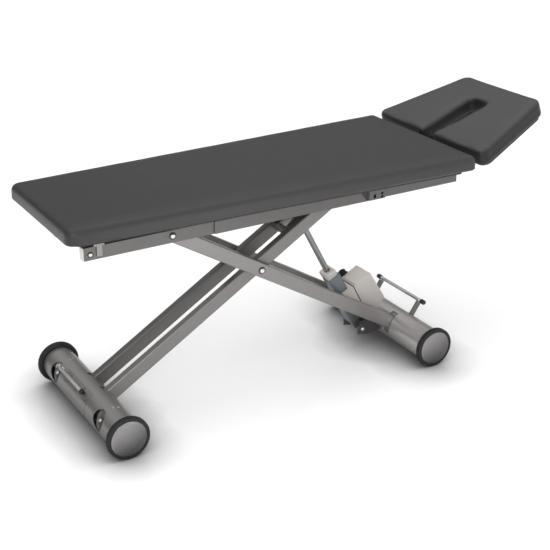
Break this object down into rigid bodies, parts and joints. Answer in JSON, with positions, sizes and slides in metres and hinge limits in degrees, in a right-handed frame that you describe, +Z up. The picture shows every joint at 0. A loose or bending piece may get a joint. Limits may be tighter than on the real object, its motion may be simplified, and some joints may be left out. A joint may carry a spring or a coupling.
{
  "type": "medical exam table",
  "caption": "Height-adjustable examination couch: scissor arms on two round base tubes with rubber rings, padded top and a tilting head section with a nose slot.",
  "frame": {"origin": "on the floor under the middle of the table, with the head section raised as at rest", "axes": "+X to the head end, +Y to the far long side, +Z up"},
  "size_m": [1.9217, 0.6488, 0.9245],
  "materials": {
    "frame_paint": "satin metallic warm-grey powder coat",
    "rubber": "matt black, ribbed",
    "cap_metal": "satin",
    "chrome": "polished",
    "zinc": "bright zinc plated",
    "cream_plastic": "fine moulded grain",
    "grey_alloy": "satin anodised",
    "black_plastic": "moulded",
    "board": "dark coated plywood",
    "leatherette": "fine grained upholstery",
    "nylon": "moulded"
  },
  "bodies": {
    "head_base": {"head_tube": "frame_paint", "head_cap_near": "cap_metal", "head_cap_far": "cap_metal", "head_ring_near": "rubber", "head_ring_far": "rubber", "head_axle": "zinc", "drive_bracket": "frame_paint"},
    "foot_base": {"foot_tube": "frame_paint", "foot_cover": "frame_paint", "foot_cap_near": "cap_metal", "foot_cap_far": "cap_metal", "foot_ring_near": "rubber", "foot_ring_far": "rubber", "foot_axle": "zinc", "lever_pivot": "chrome"},
    "outer_arms": {"outer_arm_near": "frame_paint", "outer_arm_far": "frame_paint", "cross_pivot_shaft": "zinc"},
    "inner_arms": {"inner_arm_near": "frame_paint", "inner_arm_far": "frame_paint", "drive_cross_tube": "frame_paint"},
    "top_frame": {"rail_near": "frame_paint", "rail_far": "frame_paint", "rail_end_cap_near": "cream_plastic", "rail_end_cap_far": "cream_plastic", "clamp_bracket_near": "frame_paint", "clamp_bracket_far": "frame_paint", "frame_pivot_shaft": "zinc", "cross_member_foot": "frame_paint", "cross_member_head": "frame_paint", "main_board": "board", "main_pad": "leatherette", "gas_spring_cylinder": "black_plastic"},
    "slide_blocks": {"slide_axle": "zinc", "slide_block_near": "nylon", "slide_block_far": "nylon"},
    "actuator": {"spindle_housing": "grey_alloy", "spindle_collar": "cream_plastic", "drive_motor": "black_plastic", "gearbox_base": "cream_plastic", "gearbox_cover": "cream_plastic"},
    "actuator_rod": {"spindle_rod": "chrome"},
    "head_section": {"head_pad": "leatherette", "head_board": "board", "head_hinge_frame": "frame_paint"},
    "gas_spring_rod": {"gas_spring_rod": "chrome"},
    "pedal": {"pedal_frame": "chrome", "pedal_grip_near": "black_plastic", "pedal_grip_far": "black_plastic"},
    "castor_lever": {"foot_lever": "chrome", "foot_lever_knob": "black_plastic"},
    "head_castors": {"head_castor_fork_near": "black_plastic", "head_castor_fork_far": "black_plastic"},
    "foot_castors": {"foot_castor_fork_near": "black_plastic", "foot_castor_fork_far": "black_plastic"},
    "head_wheel_near": {"head_castor_wheel_near": "rubber"},
    "head_wheel_far": {"head_castor_wheel_far": "rubber"},
    "foot_wheel_near": {"foot_castor_wheel_near": "rubber"},
    "foot_wheel_far": {"foot_castor_wheel_far": "rubber"}
  },
  "joints": [
    {"name": "lift", "type": "hinge", "parent": "head_base", "child": "outer_arms", "pos_m": [0.42155, 0, 0.0753], "axis": [0, 1, 0], "range_deg": [-14, 9]},
    {"name": "cross_pivot", "type": "hinge", "parent": "outer_arms", "child": "inner_arms", "pos_m": [-0.19785, 0, 0.44895], "axis": [0, 1, 0], "range_deg": [-18.5, 28.5]},
    {"name": "frame_pivot", "type": "hinge", "parent": "outer_arms", "child": "top_frame", "pos_m": [-0.54892, 0, 0.66073], "axis": [0, 1, 0], "range_deg": [-9.5, 14.5]},
    {"name": "foot_base_pivot", "type": "hinge", "parent": "inner_arms", "child": "foot_base", "pos_m": [-0.81725, 0, 0.0753], "axis": [0, 1, 0], "range_deg": [-14.5, 9.5]},
    {"name": "slide_block_pivot", "type": "hinge", "parent": "inner_arms", "child": "slide_blocks", "pos_m": [0.15322, 0, 0.66073], "axis": [0, 1, 0], "range_deg": [-14.5, 9.5]},
    {"name": "actuator_pivot", "type": "hinge", "parent": "head_base", "child": "actuator", "pos_m": [0.27845, 0, 0.078], "axis": [0, 1, 0], "range_deg": [-17, 11]},
    {"name": "actuator_stroke", "type": "slide", "parent": "actuator", "child": "actuator_rod", "axis": [-0.4695, 0, 0.8829], "range_m": [-0.147, 0.095]},
    {"name": "head_tilt", "type": "hinge", "parent": "top_frame", "child": "head_section", "pos_m": [0.57425, 0, 0.733], "axis": [0, -1, 0], "range_deg": [-47, 1.5]},
    {"name": "gas_spring_stroke", "type": "slide", "parent": "top_frame", "child": "gas_spring_rod", "axis": [1, 0, 0], "range_m": [-0.053, 0.004]},
    {"name": "pedal_push", "type": "hinge", "parent": "head_base", "child": "pedal", "pos_m": [0.42155, 0, 0.0753], "axis": [0, 1, 0], "range_deg": [0, 35]},
    {"name": "head_castor_drop", "type": "slide", "parent": "head_base", "child": "head_castors", "axis": [0, 0, -1], "range_m": [0, 0.0335]},
    {"name": "castor_lever_fold", "type": "hinge", "parent": "foot_base", "child": "castor_lever", "pos_m": [-0.86311, 0.181, 0.12805], "axis": [-0.7547, 0, -0.6561], "range_deg": [0, 90]},
    {"name": "foot_castor_drop", "type": "slide", "parent": "foot_base", "child": "foot_castors", "axis": [0, 0, -1], "range_m": [0, 0.0335]},
    {"name": "head_wheel_near_spin", "type": "hinge", "parent": "head_castors", "child": "head_wheel_near", "pos_m": [0.42155, -0.19, 0.0533], "axis": [0, 1, 0], "continuous": true},
    {"name": "head_wheel_far_spin", "type": "hinge", "parent": "head_castors", "child": "head_wheel_far", "pos_m": [0.42155, 0.19, 0.0533], "axis": [0, 1, 0], "continuous": true},
    {"name": "foot_wheel_near_spin", "type": "hinge", "parent": "foot_castors", "child": "foot_wheel_near", "pos_m": [-0.81725, -0.19, 0.0533], "axis": [0, 1, 0], "continuous": true},
    {"name": "foot_wheel_far_spin", "type": "hinge", "parent": "foot_castors", "child": "foot_wheel_far", "pos_m": [-0.81725, 0.19, 0.0533], "axis": [0, 1, 0], "continuous": true}
  ],
  "couplings": [
    {"joint": "cross_pivot", "follows": "lift", "ratio": -2},
    {"joint": "frame_pivot", "follows": "lift", "ratio": -1},
    {"joint": "foot_base_pivot", "follows": "lift", "ratio": 1},
    {"joint": "slide_block_pivot", "follows": "lift", "ratio": 1},
    {"joint": "actuator_pivot", "follows": "lift", "ratio": 1.1755},
    {"joint": "actuator_stroke", "follows": "lift", "m_per_rad": 0.59463},
    {"joint": "gas_spring_stroke", "follows": "head_tilt", "m_per_rad": 0.063},
    {"joint": "head_castor_drop", "follows": "pedal_push", "m_per_rad": 0.054022},
    {"joint": "foot_castor_drop", "follows": "castor_lever_fold", "m_per_rad": 0.021008}
  ]
}
